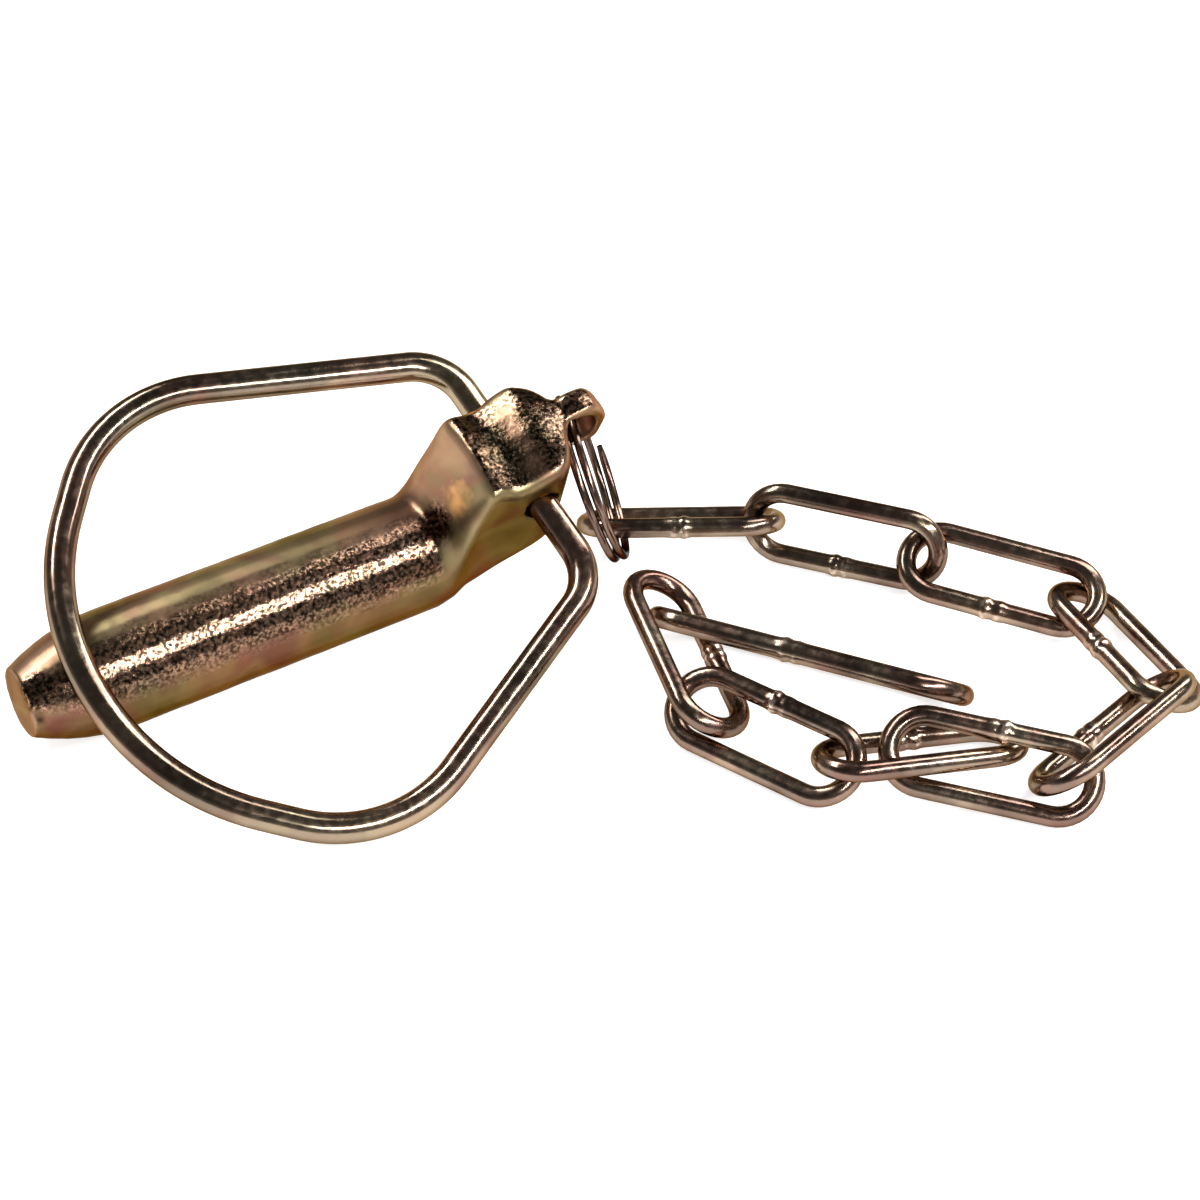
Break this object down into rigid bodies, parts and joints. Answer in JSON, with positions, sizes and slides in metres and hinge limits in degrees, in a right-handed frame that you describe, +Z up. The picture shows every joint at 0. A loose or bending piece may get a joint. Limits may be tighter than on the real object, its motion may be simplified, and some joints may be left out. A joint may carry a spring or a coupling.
{
  "type": "lock pin with clip",
  "caption": "Forged lock pin with a sprung wire clip that folds over its shank, held by a split ring to a short welded chain with a long end link.",
  "frame": {"origin": "centre of the shank's flat tip face", "axes": "+X runs along the shank from the tip to the head, +Z is up from the ground that the pin, the clip and the chain lie on, +Y completes the right-handed frame"},
  "size_m": [0.1361, 0.1039, 0.0335],
  "materials": {
    "zinc_forging": "yellow chromate zinc plate",
    "zinc_spring": "yellow chromate zinc plate",
    "zinc_ring": "yellow chromate zinc plate",
    "zinc_chain_link_1": "yellow chromate zinc plate",
    "zinc_chain_link_2": "yellow chromate zinc plate",
    "zinc_chain_link_3": "yellow chromate zinc plate",
    "zinc_chain_link_4": "yellow chromate zinc plate",
    "zinc_chain_link_5": "yellow chromate zinc plate",
    "zinc_chain_link_6": "yellow chromate zinc plate",
    "zinc_chain_link_7": "yellow chromate zinc plate",
    "zinc_chain_link_8": "yellow chromate zinc plate",
    "zinc_chain_link_9": "yellow chromate zinc plate",
    "zinc_end_link": "yellow chromate zinc plate"
  },
  "bodies": {
    "lock_pin": {"lock_pin": "zinc_forging"},
    "clip": {"clip": "zinc_spring"},
    "split_ring": {"split_ring": "zinc_ring"},
    "chain_link_1": {"chain_link_1": "zinc_chain_link_1"},
    "chain_link_2": {"chain_link_2": "zinc_chain_link_2"},
    "chain_link_3": {"chain_link_3": "zinc_chain_link_3"},
    "chain_link_4": {"chain_link_4": "zinc_chain_link_4"},
    "chain_link_5": {"chain_link_5": "zinc_chain_link_5"},
    "chain_link_6": {"chain_link_6": "zinc_chain_link_6"},
    "chain_link_7": {"chain_link_7": "zinc_chain_link_7"},
    "chain_link_8": {"chain_link_8": "zinc_chain_link_8"},
    "chain_link_9": {"chain_link_9": "zinc_chain_link_9"},
    "end_link": {"end_link": "zinc_end_link"}
  },
  "joints": [
    {"name": "clip_hinge", "type": "hinge", "parent": "lock_pin", "child": "clip", "pos_m": [0.0698, -0.00633, 0.01316], "axis": [-0.1129, 0.8867, 0.4484], "range_deg": [0, 120]},
    {"name": "ring_hinge", "type": "hinge", "parent": "lock_pin", "child": "split_ring", "pos_m": [0.0785, -0.00469, 0.01668], "axis": [0, 0.9455, 0.3256], "range_deg": [-40, 27]},
    {"name": "link_1_hinge", "type": "hinge", "parent": "split_ring", "child": "chain_link_1", "pos_m": [0.08636, -0.00241, -0.00439], "axis": [0.3037, 0.8903, 0.3392], "range_deg": [-27, 40]},
    {"name": "link_2_hinge", "type": "hinge", "parent": "chain_link_1", "child": "chain_link_2", "pos_m": [0.10211, -0.01845, -0.00137], "axis": [0.8619, 0.314, -0.3982], "range_deg": [-40, 37]},
    {"name": "link_3_hinge", "type": "hinge", "parent": "chain_link_2", "child": "chain_link_3", "pos_m": [0.11592, -0.03452, -0.00547], "axis": [-0.2955, -0.3298, 0.8966], "range_deg": [-4, 35]},
    {"name": "link_4_hinge", "type": "hinge", "parent": "chain_link_3", "child": "chain_link_4", "pos_m": [0.12609, -0.05212, -0.00577], "axis": [0, 0, 1], "range_deg": [-2, 35]},
    {"name": "link_5_hinge", "type": "hinge", "parent": "chain_link_4", "child": "chain_link_5", "pos_m": [0.12791, -0.07383, -0.00317], "axis": [0.9075, -0.2022, -0.3681], "range_deg": [-40, 2]},
    {"name": "link_6_hinge", "type": "hinge", "parent": "chain_link_5", "child": "chain_link_6", "pos_m": [0.11063, -0.07774, -0.00197], "axis": [-0.0396, 0.8571, 0.5136], "range_deg": [-37, 40]},
    {"name": "link_7_hinge", "type": "hinge", "parent": "chain_link_6", "child": "chain_link_7", "pos_m": [0.10361, -0.07011, -0.00334], "axis": [0.9746, 0.0369, -0.2209], "range_deg": [-5, 40]},
    {"name": "link_8_hinge", "type": "hinge", "parent": "chain_link_7", "child": "chain_link_8", "pos_m": [0.08566, -0.05702, -0.00425], "axis": [-0.4841, -0.2155, 0.848], "range_deg": [-5, 21]},
    {"name": "link_9_hinge", "type": "hinge", "parent": "chain_link_8", "child": "chain_link_9", "pos_m": [0.07485, -0.03889, -0.00357], "axis": [0, 0, 1], "range_deg": [-2, 18]},
    {"name": "end_link_hinge", "type": "hinge", "parent": "chain_link_9", "child": "end_link", "pos_m": [0.08447, -0.0259, -0.00276], "axis": [0.096, 0.973, 0.2098], "range_deg": [-40, 40]}
  ]
}
